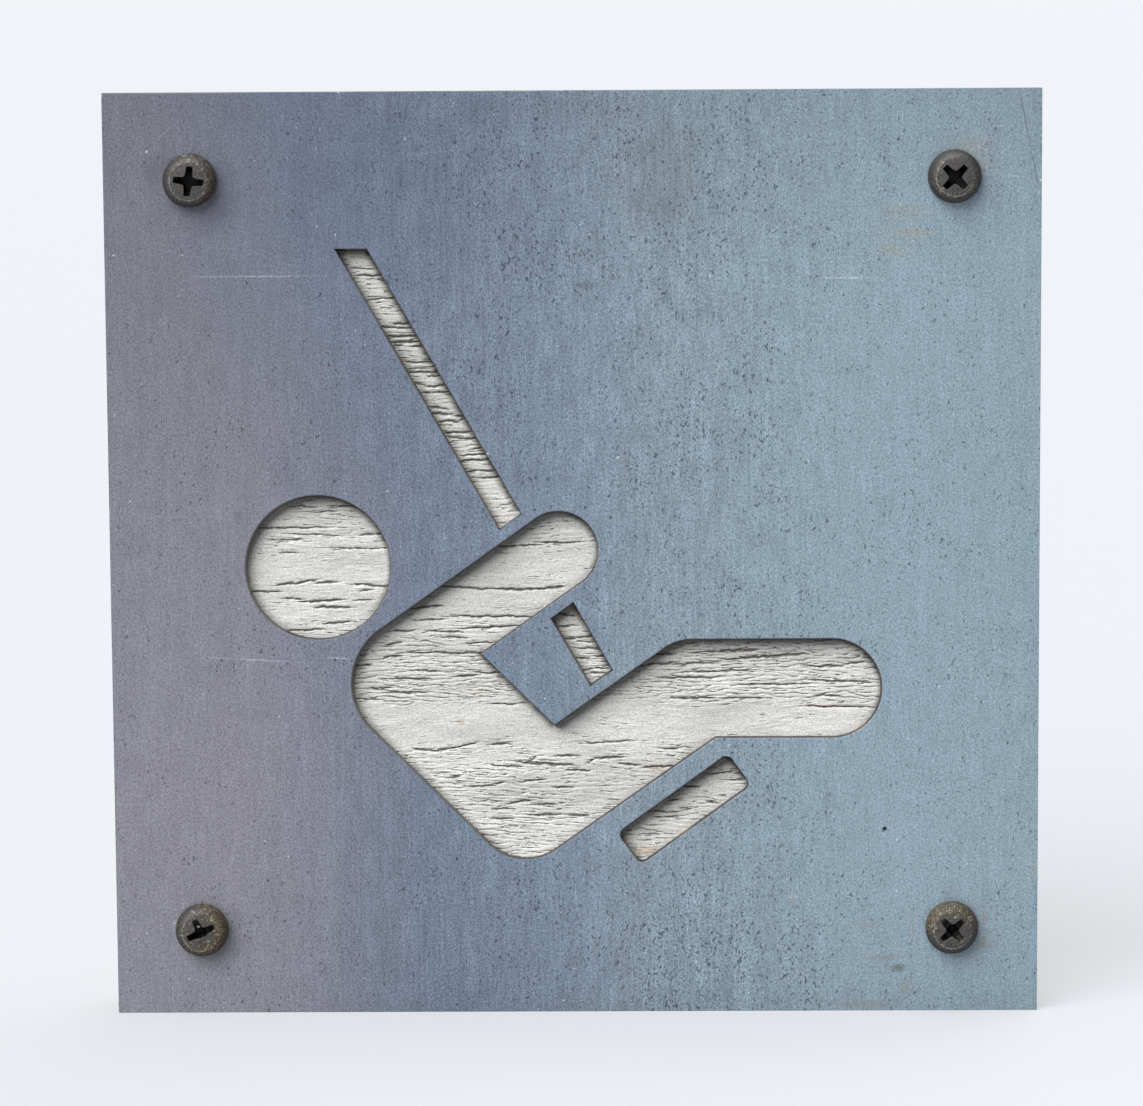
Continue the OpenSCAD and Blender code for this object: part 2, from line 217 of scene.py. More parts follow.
# The plainest checks: where each starts and ends, as x and z in mm, and its half width in 0.01 mm
long_checks = [
    (-48.2, 74.3, -37.5, 74.35, 9), (-43, 77.6, -38.9, 77.5, 7), (-36.8, 77.6, -32, 77.6, 9),
    (-39.2, 76.7, -36, 76.8, 7), (-43, 73.4, -35.5, 73.1, 6), (-32.5, 73.1, -28.8, 73.4, 9),
    (-46.2, 72.5, -41, 72.5, 6), (-36.8, 71.2, -28, 71.1, 7), (-44.5, 70.5, -42, 70.5, 8),
    (-45.2, 65.5, -38.8, 66.4, 13), (-39.2, 65.8, -35.7, 66.1, 14), (-33.8, 65.7, -28, 65.3, 12),
    (-49.2, 64.6, -46.3, 64.5, 10), (-46.4, 64.6, -44.4, 64.6, 7), (-32.6, 64.6, -30.6, 64.8, 8),
    (-44.2, 63.6, -41, 63.3, 9), (-41.4, 63, -35, 63.3, 15), (-33.3, 63.2, -30.6, 63.3, 7),
    (-39.3, 62.2, -33.9, 62.1, 16), (-38.2, 59.6, -33.8, 60, 12), (-43.2, 58.6, -37.9, 58.8, 11),
    (-12, 71.4, -5.4, 71.5, 10), (-5.6, 71.9, 1.2, 71.9, 10), (-20.2, 65.3, -11.8, 64.8, 13),
    (-12.4, 64.8, -3.4, 64.8, 16), (-4.4, 64.8, -1.6, 65.3, 12), (-25.2, 61.9, -19.8, 62.3, 15),
    (-24.4, 60.1, -19.6, 60.3, 9), (-19.1, 60.7, -6.4, 60.6, 12), (-17.2, 58.8, -8.6, 59.2, 13),
    (-28.2, 58.4, -24.2, 58.6, 11), (-22.6, 58.5, -16.9, 58.3, 9), (-19.8, 57.5, -16.3, 57.4, 10),
    (-28.9, 56.3, -26.2, 56.8, 13), (-16.6, 56.6, -11.6, 56.7, 9), (-25.7, 55.2, -13.6, 55, 10),
    (-29.2, 54.2, -26.2, 54.8, 13), (-33.8, 53.3, -30.8, 53.2, 10), (-24.2, 52.4, -20.3, 52.3, 11),
    (-15, 52.1, -10.2, 52, 12), (-28.3, 51.2, -21.8, 51.1, 12), (-18.7, 51.3, -14.8, 51.7, 10),
    (-28.7, 49, -22.3, 49.1, 11), (-31.2, 49.7, -27.8, 49.8, 10), (-33.3, 48.1, -29.3, 48, 8),
    (-12.8, 47.2, -7.2, 47.3, 8), (-12.9, 41, -9.8, 41.1, 14), (-24.6, 40.4, -21.3, 40, 13),
    (-21.7, 40, -19.3, 40.3, 14), (-19.4, 40.3, -14.8, 41.3, 8), (-2.8, 39.2, 0.5, 39.2, 13),
    (1.7, 37.9, 3.2, 38.9, 10), (2.9, 38.8, 7.3, 39, 14), (1.3, 41.2, 8.7, 41.4, 9),
    (-13, 37.8, -8, 37.5, 10), (-9.2, 38.3, -0.2, 37.7, 16), (-7.7, 38.2, -6, 38.9, 9),
    (-1.4, 37, 2.3, 37, 13), (6.4, 37.9, 9.7, 37.8, 11), (10, 37.3, 14.8, 37.6, 13),
    (-8.3, 35.3, -4.5, 35.6, 10), (-16.3, 34.6, -12.1, 34.6, 10), (-12.7, 34.8, -10.9, 35.1, 11),
    (-3.5, 34.4, -0.3, 34.4, 11), (-19.2, 35.9, -17.5, 36, 11), (-10.6, 31.8, -6.8, 32.3, 13),
    (-6.5, 31.8, -3, 31.7, 13), (-12.8, 31, -9.8, 31.1, 10), (-7.3, 30.1, -2.2, 30.1, 11),
    (-1.2, 30, 2.2, 30, 12), (-12.7, 29.6, -9.6, 29.5, 11), (17.6, 55, 22.8, 55.1, 10),
    (22, 55.3, 27.8, 55.4, 17), (23, 53.9, 35, 54.8, 15), (10, 53, 15.6, 53.6, 12),
    (14.3, 53.2, 21.2, 53.4, 11), (34.8, 52.9, 40.6, 52.8, 12), (40.6, 53, 44, 53.6, 9),
    (16.8, 52, 26.8, 52.3, 9), (11.8, 54.7, 15.2, 54.8, 13), (13.3, 51.1, 21.8, 51.2, 11),
    (24.6, 50.1, 35.4, 50.1, 8), (35.8, 50.7, 45, 50.3, 11), (14.3, 48, 21.3, 48, 12),
    (21.8, 48, 28.8, 48, 8), (36.3, 48.3, 40.2, 48.3, 10), (34.8, 46.7, 45, 46.5, 9),
    (12.8, 40.2, 16.2, 40.4, 9), (16.3, 34.4, 19, 34.4, 13), (10.8, 30.6, 15.7, 30.5, 8),
    (19.9, 31.9, 21.5, 31.9, 9), (20.3, 36.3, 24.2, 36.7, 9), (11.8, 29.7, 16, 29.8, 8),
    (22.9, 35.4, 25.6, 35.4, 8), (24.2, 36.4, 25.2, 36.5, 10), (22, 33, 22.8, 33, 8),
    (13.6, 32, 16, 32.5, 6), (16, 31.1, 17.8, 31, 6), (10.2, 27.1, 13, 27.1, 6),
    (-33, 113.6, -29.8, 113.3, 6), (-32.4, 112.4, -28.2, 112.5, 11), (-30.6, 108.8, -26.8, 109, 7),
    (-27, 105.1, -24.2, 105.3, 15), (-28.8, 104.7, -24.3, 104.5, 10), (-28.2, 103.3, -23, 103.2, 16),
    (-27.2, 102.3, -23, 102.5, 15), (-27, 101.9, -25.6, 101.9, 12), (-24.5, 101.8, -22, 101.7, 10),
    (-25.4, 99.4, -21.4, 99.3, 10), (-24.9, 98.4, -21.6, 98.4, 6), (-24.8, 97.8, -19.8, 97.9, 14),
    (-22, 97.2, -19.8, 97.3, 9), (-23.6, 96.1, -22, 95.8, 10), (-22, 95.7, -18.9, 95.8, 14),
    (-22.8, 94.8, -18.4, 94.8, 11), (-21.6, 92.5, -18.6, 92.3, 10), (-21.2, 91.6, -18, 91.5, 15),
    (-18, 91.2, -16, 91, 13), (-20.3, 90.4, -17, 90.3, 14), (-17.2, 90.4, -16.2, 90.9, 10),
    (-19.3, 88.6, -15.2, 88.8, 14), (-18.9, 88, -17, 87.8, 8), (-17.4, 87.7, -14.2, 87.8, 14),
    (-15.4, 86.2, -13.2, 86.4, 10), (-16.8, 85.2, -12.8, 85.4, 10), (-17.2, 84.4, -12.2, 84.5, 14),
    (-16, 82.8, -12, 82.9, 9), (-14, 81.8, -10.5, 81.9, 12), (-3.2, 60.9, -1.2, 61, 10),
    (-1.8, 60.7, 0.2, 60.8, 7), (-2.6, 59.1, -0.8, 59.1, 11), (-0.9, 59.3, 0.6, 59.3, 5),
    (-1.7, 57.3, 0.2, 57.2, 11), (0.1, 57.2, 2.9, 57.6, 10), (0.4, 56.7, 2.9, 56.7, 7),
    (0.5, 55.6, 1.8, 55.6, 8), (1.8, 55.75, 3.7, 55.7, 9), (2.9, 54.6, 4.6, 54.5, 11),
    (0.1, 54.3, 2.2, 54.2, 9), (1.3, 52.5, 5.2, 52.6, 8), (2.1, 51.8, 4.6, 51.9, 6),
]
# How much the coat has opened in fine checks at each height in mm: 0 is hardly, 1 is everywhere
weathered_heights = (18, 24, 30, 39, 41.5, 43, 46.5, 48, 56, 58, 60.5, 66.5, 69.5, 72, 78, 84, 118)
weathered_amounts = (0.9, 1.0, 0.8, 0.6, 0.3, 0.0, 0.05, 0.9, 0.85, 0.6, 0.35, 0.1, 0.1, 0.6, 0.7, 0.8, 0.8)


def checks(x, z):
    """How far the coat has opened at each point, from 0 to 1, the height of the ridges between, and
    the depth of the hollows beside the plainest checks.

    The fine checks lie along the zero lines of a field of long, low waves: the field over its slope
    gives the distance to the line, and a second field gives each stretch its width. The plainest
    checks are lenses between two ends, bent by small waves, with a faint tail at each end.
    """
    x, z = x / mm, z / mm
    field = waves(x, z, 26, 11, 1.25, 1) + 0.35 * waves(x, z, 16, 3, 0.7, 2)
    slope = np.hypot(np.gradient(field, z[1, 0] - z[0, 0], axis=0), 0.4)
    away = np.abs(field) / slope
    amount = np.interp(z, weathered_heights, weathered_amounts) + 0.3 * waves(x, z, 12, 16, 5, 3)
    leg_and_chest = 0.4 * smooth(8, 16, x) + 0.2 * smooth(-6, -14, x)
    amount = amount + smooth(47, 48, z) * smooth(58, 56, z) * leg_and_chest
    amount = amount + 0.22 * smooth(2, -4, x) * smooth(42, 38, z)
    present = waves(x, z, 22, 4.2, 0.75, 4) + 1.6 * amount - 1.0
    width = 0.115 * np.clip(present, 0, 1)
    fine = np.clip(1.25 - away / np.maximum(width, 0.01), 0, 1) * smooth(0, 0.5, present)
    opened = fine * (0.4 + 0.55 * smooth(-0.8, 0.8, waves(x, z, 12, 2.2, 0.6, 9)))
    bent = z + 0.07 * waves(x, z, 8, 4.5, 5, 5) + 0.035 * waves(x, z, 8, 0.9, 1.5, 6)
    ragged = 1 + 0.4 * waves(x, z, 10, 1.5, 0.9, 7)
    hollow = np.zeros_like(opened)
    for start, start_z, end, end_z, half in long_checks:
        tail = 0.25 * (end - start)
        columns = slice(*np.searchsorted(x[0], (start - tail, end + tail)))
        rows = slice(*np.searchsorted(z[:, 0], (min(start_z, end_z) - 1, max(start_z, end_z) + 1)))
        share = (x[rows, columns] - start) / (end - start)
        middle = start_z + (end_z - start_z) * share
        width = half / 100 * np.clip(4 * share * (1 - share), 0, 1) ** 0.4 * ragged[rows, columns] + 0.03
        off = np.abs(bent[rows, columns] - middle)
        strength = smooth(-0.27, 0.08, np.minimum(share, 1 - share))
        lens = np.clip(1.5 - off / np.maximum(width, 0.04), 0, 1) * strength
        opened[rows, columns] = np.maximum(opened[rows, columns], lens)
        hollow[rows, columns] = np.maximum(hollow[rows, columns], smooth(0.55, 0.1, off) * strength)
    ridge = smooth(0, 0.35, away) * smooth(0, 1.2, present + 0.5)
    return opened, ridge, hollow


def nearest(points, outline):
    """The step from each point to the nearest place on an outline: on each edge that is the foot of
    the perpendicular, kept between the edge's ends."""
    edge = np.roll(outline, -1, 0) - outline
    ahead = outline - points[:, None]
    share = np.clip(-(ahead * edge).sum(-1) / (edge ** 2).sum(-1), 0, 1)
    steps = ahead + share[..., None] * edge
    return steps[np.arange(len(points)), np.hypot(*steps.T).T.argmin(1)]


front, hanger_pilot_end, pocket_end, shelf, pilot_end, back = np.unique(
    np.round([v.co.y for v in board_node.data.vertices], 6))
board_low, board_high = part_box("backing_board")
plate_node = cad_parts["face_plate"]
plate_low, plate_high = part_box("face_plate")
widest_hole = 6 * mm
cutouts = [rim for rim in outlines(plate_node, plate_low.y)[1:] if np.ptp(rim, 0).max() > widest_hole]

# The face that shows in the cutouts is a fine grid, in blocks of a millimetre. The rest is flat.
fine_x, fine_z = 3, 9
corner_low = np.floor(np.min([rim.min(0) for rim in cutouts], 0) / mm) - 2
corner_high = np.ceil(np.max([rim.max(0) for rim in cutouts], 0) / mm) + 2
blocks_x, blocks_z = (corner_high - corner_low).astype(int)
block_x, block_z = np.meshgrid(*[np.arange(a, b + 1) * mm for a, b in zip(corner_low, corner_high)])
shows = np.any([within(block_x, block_z, rim) for rim in cutouts], 0)
for axis in (0, 1):
    shows = shows | np.roll(shows, 1, axis) | np.roll(shows, -1, axis)
blocks = shows[:-1, :-1] | shows[:-1, 1:] | shows[1:, :-1] | shows[1:, 1:]
x, z = np.meshgrid(
    np.linspace(corner_low[0], corner_high[0], blocks_x * fine_x + 1) * mm,
    np.linspace(corner_low[1], corner_high[1], blocks_z * fine_z + 1) * mm)
opened, ridge, hollow = checks(x, z)
hills = 0.5 + 0.3 * waves(x / mm, z / mm, 12, 9, 2.2, 8)
relief = (0.24 * opened - 0.05 * ridge + 0.04 * hollow + 0.06 + 0.05 * hills) * mm
kept = grid_faces(*x.shape)[np.kron(blocks, np.ones((fine_z, fine_x), bool)).ravel()]
used, kept = np.unique(kept, return_inverse=True)
kept = kept.reshape(-1, 4)
grid_points = np.stack([x, front + relief, z], -1).reshape(-1, 3)[used]
grid_edges = boundary(kept)
grid_points[np.concatenate(grid_edges), 1] = front

# Painted shade lies on the board beside the sheet's walls, most towards the right and upper right,
# and some at the lower left
steps = np.array([nearest(grid_points[:, ::2], rim) for rim in cutouts])
steps = steps[np.hypot(*steps.T).T.argmin(0), np.arange(len(grid_points))]
away = np.hypot(*steps.T)
steps /= np.maximum(away, 1e-6)[:, None]
right = smooth(0, 0.95, steps @ (0.94, 0.34))
corner = smooth(0.8, 0.98, steps @ (0.71, 0.71))
lower_left = smooth(0.75, 0.98, steps @ (-0.71, -0.71))
wall_shade = 0.1 + 0.6 * right + 0.3 * corner + 0.3 * lower_left
wall_shade = wall_shade * smooth(1.4 - 0.4 * right + 0.6 * corner, 0.2, away / mm)

edge_round = 0.5 * mm
quarters = np.radians(np.add.outer([180, 270, 0, 90], np.linspace(0, 90, 5)))
corners = np.array([
    (board_low.x, board_low.z), (board_high.x, board_low.z), (board_high.x, board_high.z),
    (board_low.x, board_high.z)]) - 2 * edge_round * np.array([(-1, -1), (1, -1), (1, 1), (-1, 1)])
border = corners[:, None] + edge_round * np.stack([np.cos(quarters), np.sin(quarters)], -1)
border = border.reshape(-1, 2)
arc = np.radians([0, 30, 60, 90])
front_round = [(-edge_round * math.sin(a), front + edge_round * (1 - math.cos(a))) for a in arc]
back_round = [(-edge_round * math.sin(a), back - edge_round * (1 - math.cos(a))) for a in arc[::-1]]
pilots = outlines(board_node, front)[1:]
recess = outlines(board_node, back)[1]
_, pocket, *hanger_pilots = outlines(board_node, shelf)
plain = [
    flat_surface([border, *pilots, *[grid_points[walk][:, ::2] for walk in grid_edges]], front),
    edge_surface(border, front_round + back_round),
    flat_surface([border, recess], back)]
routed = [
    edge_surface(recess, [(0, back), (0, shelf)]),
    flat_surface([recess, pocket, *hanger_pilots], shelf),
    edge_surface(pocket, [(0, shelf), (0, pocket_end)]),
    flat_surface([pocket], pocket_end)]
for rims, mouth, end in ((pilots, front, pilot_end), (hanger_pilots, shelf, hanger_pilot_end)):
    for rim in rims:
        routed += [edge_surface(rim, [(0, mouth), (0, end)]), flat_surface([rim], end)]
# The coat is opened and carries its painted wall shade on the fine grid alone, and was cut away where the
# board was routed
surfaces = [(grid_points, kept, opened.ravel()[used], wall_shade, 0 * wall_shade)]
surfaces += [(points, faces, none, none, none) for points, faces, none in plain]
surfaces += [(points, faces, none, none, none + 1) for points, faces, none in routed]
board = solid("whitewashed_board", surfaces, ["opened", "wall_shade", "routed"])


def linear(colour):
    """An sRGB hex colour as linear red, green, blue and alpha."""
    values = np.array([int(colour[i:i + 2], 16) for i in (1, 3, 5)]) / 255
    values = np.where(values <= 0.04045, values / 12.92, ((values + 0.055) / 1.055) ** 2.4)
    return (*values.tolist(), 1.0)


def new_material(name):
    """An empty material: its node tree, and its shader's surface socket to link to."""
    material = bpy.data.materials.new(name)
    material.use_nodes = True
    material.node_tree.nodes.clear()
    output = material.node_tree.nodes.new("ShaderNodeOutputMaterial")
    return material, material.node_tree, output.inputs["Surface"]


def add(tree, kind, sockets=(), out=0, stops=(), **settings):
    """Adds a node: sockets are set to values or linked to other nodes' outputs, and one output of the
    new node is returned."""
    node = tree.nodes.new("ShaderNode" + kind)
    for name, value in settings.items():
        setattr(node, name, value)
    for name, value in dict(sockets).items():
        if isinstance(value, bpy.types.NodeSocket):
            tree.links.new(value, node.inputs[name])
        else:
            node.inputs[name].default_value = value
    for i, (place, colour) in enumerate(stops):
        ramp = node.color_ramp.elements
        stop = ramp[i] if i < len(ramp) else ramp.new(place)
        stop.position, stop.color = place, linear(colour) if isinstance(colour, str) else colour
    return node.outputs[out]


def patch(tree, place, x, z, wide, high, lean=0, ragged=0.5):
    """A soft patch on the sign's face, 1 at its middle and 0 outside: the distance from its middle
    over its half width and half height, upset by noise a third of its size. Sizes are in mm."""
    near = add(tree, "Mapping", {
        "Vector": place, "Location": (x * mm, 0, z * mm), "Rotation": (0, -lean, 0),
        "Scale": (wide * mm, 1, high * mm)}, vector_type="TEXTURE")
    noise = add(tree, "TexNoise", {"Vector": near, "Scale": 3.0, "Detail": 3.0})
    away = add(tree, "VectorMath", {0: near}, out="Value", operation="LENGTH")
    away = add(tree, "Math", {0: noise, 1: 2 * ragged, 2: away}, operation="MULTIPLY_ADD")
    return add(tree, "MapRange", {
        "Value": away, "From Min": 1 + ragged, "From Max": 0.3 + ragged}, interpolation_type="SMOOTHSTEP")


def mixed(tree, share, under, over):
    """One colour over another."""
    over = linear(over) if isinstance(over, str) else over
    return add(tree, "Mix", {"Factor": share, "A": under, "B": over}, out="Result", data_type="RGBA")


# Whitewashed pine: a matt lime coat, thin enough that the grain lifts through it, over yellow-grey
# wood. To the eye it is off-white with grey dashes along the grain, near black down in the checks.
whitewash, tree, surface = new_material("whitewashed_pine")
place = add(tree, "TexCoord", out="Object")
# Noise along the grain, each by its length, depth and height in mm, then its detail and roughness
fibre, lift, cloud = [add(tree, "TexNoise", {
    "Vector": add(tree, "Mapping", {
        "Vector": place, "Scale": (1 / (long * mm), 1 / (deep * mm), 1 / (high * mm))}),
    "Scale": 1.0, "Detail": detail, "Roughness": rough}) for long, deep, high, detail, rough in (
        (1.1, 1, 0.2, 3.0, 0.7), (5, 3, 0.6, 4.0, 0.6), (14, 9, 5, 2.0, 0.5))]
tooth = add(tree, "TexNoise", {"Vector": place, "Scale": 1 / (0.22 * mm), "Detail": 2.0, "Roughness": 0.8})
depth_y = add(tree, "SeparateXYZ", {0: place}, out="Y")
# The brush stopped unevenly on the edges, near the back, and what was routed is bare
bare = add(tree, "MapRange", {"Value": add(tree, "Math", {
    0: cloud, 1: 4 * mm, 2: depth_y}, operation="MULTIPLY_ADD"), "From Min": 6.2 * mm, "From Max": 7.4 * mm})
bare = add(tree, "Math", {
    0: bare, 1: add(tree, "Attribute", {}, out="Fac", attribute_name="routed")}, operation="MAXIMUM")
coat = add(tree, "ValToRGB", {"Fac": cloud}, stops=((0.3, "#d9d8d3"), (0.52, "#e9e8e4"), (0.7, "#f2f1ed")))
worn = add(tree, "MapRange", {"Value": lift, "From Min": 0.5, "From Max": 0.72})
worn_fibre = add(tree, "MapRange", {"Value": fibre, "From Min": 0.5, "From Max": 0.72, "To Max": 0.8})
dashes = add(tree, "Math", {0: worn, 1: worn_fibre}, operation="MULTIPLY")
grey = mixed(tree, dashes, coat, "#6f6e65")
toothed = add(tree, "MapRange", {
    "Value": tooth, "From Min": 0.25, "From Max": 0.75, "To Min": 0.62, "To Max": 1.3})
grey = add(tree, "VectorMath", {0: grey, "Scale": toothed}, operation="SCALE")
# Yellow and brown stains of resin and rust, then broad grey ones: middle and half sizes in mm
# The largest grey stain, over the upper rope, is weathering and also painted shade in that narrow slot
for stain_x, stain_z, wide, high, shade, strength in (
        (-17.3, 44.5, 0.8, 0.7, "#bfa77a", 0.4), (-14.6, 48.8, 1.4, 0.8, "#c9bb94", 0.2),
        (37.5, 46.7, 5, 0.3, "#a8735c", 0.4), (12.6, 37.2, 1.6, 0.5, "#c99a76", 0.3),
        (10.5, 24.6, 2.5, 0.8, "#d8ab7c", 0.4), (-22, 100, 12, 24, "#8c8b83", 0.24),
        (0.3, 60.6, 1.0, 1.2, "#b98a58", 0.3), (-12, 56, 18, 3, "#98968e", 0.15),
        (-8, 33, 14, 5, "#98968e", 0.15)):
    stain = add(tree, "Math", {
        0: patch(tree, place, stain_x, stain_z, wide, high), 1: strength}, operation="MULTIPLY")
    grey = mixed(tree, stain, grey, shade)
# The growth rings of a flat-sawn board: long arches, 3.5 mm apart, pale and then dark in each year
rings = add(tree, "TexWave", {"Vector": add(tree, "Mapping", {
    "Vector": place, "Location": (18 * mm, 0, 48 * mm), "Scale": (156 * mm, 1, 11 * mm)},
    vector_type="TEXTURE"), "Scale": 1.0, "Distortion": 3.0, "Detail": 3.0, "Detail Scale": 1.2},
    wave_type="RINGS", rings_direction="Y", wave_profile="SAW")
raw = add(tree, "ValToRGB", {"Fac": rings}, stops=(
    (0.0, "#dcc6a0"), (0.55, "#cfb187"), (0.88, "#b08d64"), (1.0, "#cdae84")))
raw = mixed(tree, worn_fibre, raw, "#a08660")
# On the board's edges the coat is thin and dirty
thin = add(tree, "MapRange", {
    "Value": depth_y, "From Min": front + 0.5 * mm, "From Max": front + 1.5 * mm, "To Max": 0.8})
grey = mixed(tree, thin, grey, "#a39d90")
face = mixed(tree, bare, grey, raw)
# Dust lies on the top edge, and the faces that look up are painted darker: painted shade that tones down the
# strong light from above
dust_and_top_shade = add(tree, "MapRange", {
    "Value": add(tree, "SeparateXYZ", {0: add(tree, "NewGeometry", out="Normal")}, out="Z"),
    "From Min": 0.6, "From Max": 1.0, "To Max": 0.7})
face = mixed(tree, add(tree, "Math", {0: dust_and_top_shade, 1: thin}, operation="MULTIPLY"), face, "#716c62")
# The painted shade beside the sheet's walls, broken up by the lift noise
wall_shade_share = add(tree, "Math", {
    0: add(tree, "Attribute", {}, out="Fac", attribute_name="wall_shade"),
    1: add(tree, "MapRange", {
        "Value": lift, "From Min": 0.3, "From Max": 0.7, "To Min": 0.75, "To Max": 1.2})},
    operation="MULTIPLY", use_clamp=True)
face = mixed(tree, wall_shade_share, face, "#3f3c36")
opening = add(tree, "Attribute", {}, out="Fac", attribute_name="opened")
dark = add(tree, "ValToRGB", {"Fac": fibre}, stops=((0.3, "#2e302a"), (0.7, "#5b5b4f")))
in_leg = add(tree, "MapRange", {
    "Value": add(tree, "SeparateXYZ", {0: place}, out="X"), "From Min": 4 * mm, "From Max": 14 * mm,
    "To Max": 0.55})
dark = mixed(tree, in_leg, dark, "#4d392f")
ragged = add(tree, "Math", {0: tooth, 1: 0.7, 2: opening}, operation="MULTIPLY_ADD")
opening = add(tree, "MapRange", {"Value": ragged, "From Min": 0.53, "From Max": 1.2, "To Max": 0.88})
colour = mixed(tree, opening, face, dark)
height = add(tree, "Math", {0: fibre, 1: tooth}, operation="ADD")
height = add(tree, "Math", {0: lift, 1: height}, operation="ADD")
bump = add(tree, "Bump", {"Height": height, "Strength": 0.7, "Distance": 0.12 * mm})
tree.links.new(add(tree, "BsdfPrincipled", {
    "Base Color": colour, "Roughness": 0.86, "Normal": bump}), surface)
board.data.materials.append(whitewash)
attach(board, "root")
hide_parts("backing_board")

# Face plate.
# One square of 2 mm hot-rolled steel, blued and left matt, with the figure cut out by laser. The
# beam tapered and leaned a little, so from the front each wall shows as a thin, dark, burnt line.

plate_front, plate_back = plate_low.y, plate_high.y
broken_edge = 0.06 * mm
# The face is scorched this far from a cut, and dross narrows each cutout at the front
scorch, burr = 0.1 * mm, 0.08 * mm
taper, beam_drop = 0.3 * mm, 0.3 * mm
figure_x, figure_low, figure_high = 52 * mm, 7 * mm, 133 * mm
rims = [rounded(rim) for rim in outlines(plate_node, plate_front)]
# The sheet's outer edge and the screw holes are square, and the figure's walls taper
sheared_profile = [
    (scorch, plate_front), (broken_edge, plate_front),
    (0.3 * broken_edge, plate_front + 0.3 * broken_edge), (0, plate_front + broken_edge),
    (0, plate_back - broken_edge), (broken_edge, plate_back), (scorch, plate_back)]
sheared_values = [0, 0.1, 0.3, 0.35, 0.35, 0.35, 0]
cut_profile = [
    (scorch, plate_front), (broken_edge - burr, plate_front),
    (0.3 * broken_edge - burr, plate_front + 0.3 * broken_edge), (-burr, plate_front + broken_edge),
    (-burr - 0.1 * taper, plate_front + 0.3 * mm), (-taper, plate_back - broken_edge),
    (broken_edge - taper, plate_back), (scorch, plate_back)]
cut_values = [0, 0.05, 0.3, 0.6, 1, 1, 1, 0]
surfaces = []
for rim in rims:
    is_cutout = widest_hole < np.ptp(rim, 0).max() < 2 * figure_x
    surfaces.append(edge_surface(
        rim, cut_profile if is_cutout else sheared_profile, cut_values if is_cutout else sheared_values))
for depth in (plate_front, plate_back):
    surfaces.append(flat_surface([carried(rim, [(scorch, 0)])[0][:, ::2] for rim in rims], depth))
plate = solid("cut_steel_plate", surfaces, ["scorched"])
places = np.empty(3 * len(plate.data.vertices))
plate.data.vertices.foreach_get("co", places)
places = places.reshape(-1, 3)
in_figure = (np.abs(places[:, 0]) < figure_x) & (places[:, 2] > figure_low) & (places[:, 2] < figure_high)
through = np.clip((places[:, 1] - plate_front) / (plate_back - plate_front), 0, 1)
places[:, 2] -= beam_drop * (0.2 + 0.8 * through) * in_figure
plate.data.vertices.foreach_set("co", places.ravel())

# Blued mill steel: satin at best, with the rolling direction upright. To the eye it goes from
# violet-grey at the left through slate blue to a pale blue-grey at the right, under fine upright
# streaks, dark specks that gather in drifts, white dots, and a few stains and scratches from use.
mill_steel, tree, surface = new_material("blued_mill_steel")
place = add(tree, "TexCoord", out="Object")
at_x = add(tree, "SeparateXYZ", {0: place}, out="X")
at_z = add(tree, "SeparateXYZ", {0: place}, out="Z")
# Upright noise, each by its width and height in mm, then its detail and roughness
cloud, mottle, rolled, streaks, fleck = [add(tree, "TexNoise", {
    "Vector": add(tree, "Mapping", {"Vector": place, "Scale": (1 / (wide * mm), 1, 1 / (high * mm))}),
    "Scale": 1.0, "Detail": detail, "Roughness": rough}) for wide, high, detail, rough in (
        (12, 24, 3.0, 0.5), (3, 5, 3.0, 0.5), (1.4, 35, 2.0, 0.5), (0.45, 5, 3.0, 0.7),
        (0.27, 0.44, 2.0, 0.8))]
grain = add(tree, "TexNoise", {"Vector": place, "Scale": 1 / (0.22 * mm), "Detail": 1.0, "Roughness": 0.8})
broken = add(tree, "MapRange", {
    "Value": grain, "From Min": 0.35, "From Max": 0.65, "To Min": 0.2, "To Max": 1.6})

cloud_x = add(tree, "Math", {0: cloud, 1: 14 * mm, 2: at_x}, operation="MULTIPLY_ADD")
blue = add(tree, "ValToRGB", {"Fac": add(tree, "MapRange", {
    "Value": cloud_x, "From Min": -63 * mm, "From Max": 77 * mm})}, stops=(
        (0.0, "#70788c"), (0.27, "#747e92"), (0.37, "#788597"), (0.47, "#7e8d9e"), (0.57, "#8b9aa8"),
        (0.67, "#8ea0ad"), (0.77, "#92a5b2"), (0.87, "#94a8b5"), (1.0, "#91a5b1")))
# Towards the top the violet gives way sooner to the blue
leaning = add(tree, "MapRange", {
    "Value": at_z, "From Min": 70 * mm, "From Max": 150 * mm, "To Max": 20 * mm},
    interpolation_type="SMOOTHSTEP")
violet_x = add(tree, "Math", {0: cloud_x, 1: leaning}, operation="ADD")
violet_share = add(tree, "MapRange", {
    "Value": violet_x, "From Min": -10 * mm, "From Max": -46 * mm}, interpolation_type="SMOOTHSTEP")
height = add(tree, "MapRange", {"Value": at_z, "From Min": 0.0, "From Max": plate_high.z})
violet = add(tree, "ValToRGB", {"Fac": height}, stops=(
    (0.0, "#8c8c95"), (0.25, "#8d8c97"), (0.54, "#868791"), (0.82, "#7b7c87"), (1.0, "#767680")))
level = add(tree, "ValToRGB", {"Fac": height}, stops=(
    (0.0, (0.87, 0.87, 0.87, 1)), (0.03, (0.95, 0.95, 0.95, 1)), (0.15, (1.0, 1.0, 1.0, 1)),
    (0.8, (1.0, 1.0, 1.0, 1)), (1.0, (0.87, 0.87, 0.87, 1))))
blue = add(tree, "VectorMath", {0: blue, "Scale": level}, operation="SCALE")
toned = mixed(tree, violet_share, blue, violet)

